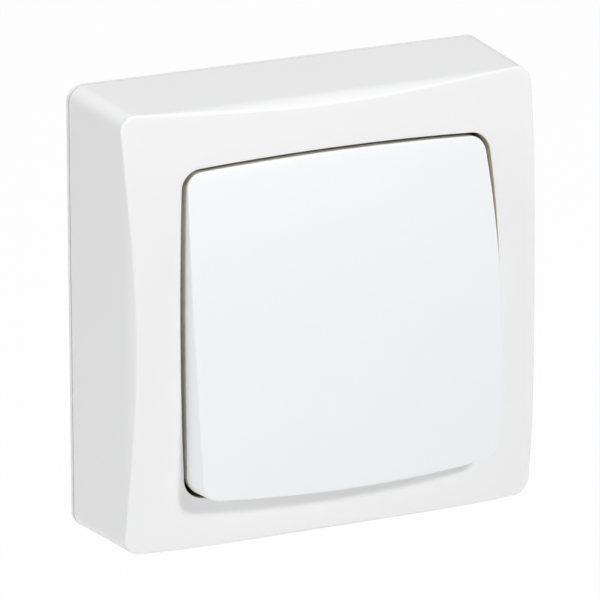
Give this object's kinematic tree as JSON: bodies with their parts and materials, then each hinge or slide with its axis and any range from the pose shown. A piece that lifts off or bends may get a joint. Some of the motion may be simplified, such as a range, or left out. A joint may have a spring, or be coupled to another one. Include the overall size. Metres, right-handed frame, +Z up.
{
  "type": "surface mounted light switch",
  "caption": "Surface mounted changeover light switch: square domed cover with a barrel shaped opening, a large domed rocker, contacts and terminals on a screw-down base.",
  "frame": {"origin": "middle of the base's back face, which lies on the wall", "axes": "+Y points into the wall, the front faces -Y, +Z is up and +X is to the right as seen from the front"},
  "size_m": [0.083, 0.0332, 0.083],
  "materials": {
    "base_plastic": "satin gloss white moulding",
    "cover_plastic": "satin gloss white moulding",
    "rocker_plastic": "satin gloss white moulding",
    "housing_plastic": "grey moulding",
    "cradle_plastic": "pale moulding",
    "spring_steel": "drawn wire",
    "contact_brass": "stamped strip",
    "contact_silver": "silver contact",
    "terminal_metal": "bent cage",
    "screw_steel": "zinc plated"
  },
  "bodies": {
    "fixed": {"base_plate": "base_plastic", "cover_frame": "cover_plastic", "mechanism_housing": "housing_plastic", "bearing_frame": "housing_plastic", "common_contact": "contact_brass", "upper_contact": "contact_brass", "lower_contact": "contact_brass", "upper_contact_tip": "contact_silver", "lower_contact_tip": "contact_silver", "common_terminal": "terminal_metal", "upper_terminal": "terminal_metal", "lower_terminal": "terminal_metal", "terminal_screws": "screw_steel", "housing_screws": "screw_steel", "bearing_frame_screws": "screw_steel"},
    "rocker": {"rocker_key": "rocker_plastic", "rocker_cradle": "cradle_plastic", "plunger_spring": "spring_steel"},
    "plunger_pin": {"plunger": "cradle_plastic"},
    "arm": {"contact_arm": "contact_brass", "moving_contact_tips": "contact_silver"}
  },
  "joints": [
    {"name": "rocker_hinge", "type": "hinge", "parent": "fixed", "child": "rocker", "pos_m": [0, -0.0255, 0], "axis": [1, 0, 0], "range_deg": [0, 11.4]},
    {"name": "plunger_slide", "type": "slide", "parent": "rocker", "child": "plunger_pin", "axis": [0, -0.9951, 0.0993], "range_m": [0, 0.0008], "stiffness_N_per_m": 400, "deforming": ["plunger_spring"]},
    {"name": "arm_hinge", "type": "hinge", "parent": "fixed", "child": "arm", "pos_m": [0, -0.0061, 0], "axis": [1, 0, 0], "range_deg": [-16.49, 0]}
  ],
  "couplings": [
    {"joint": "arm_hinge", "follows": "rocker_hinge", "ratio": -1.4454}
  ]
}
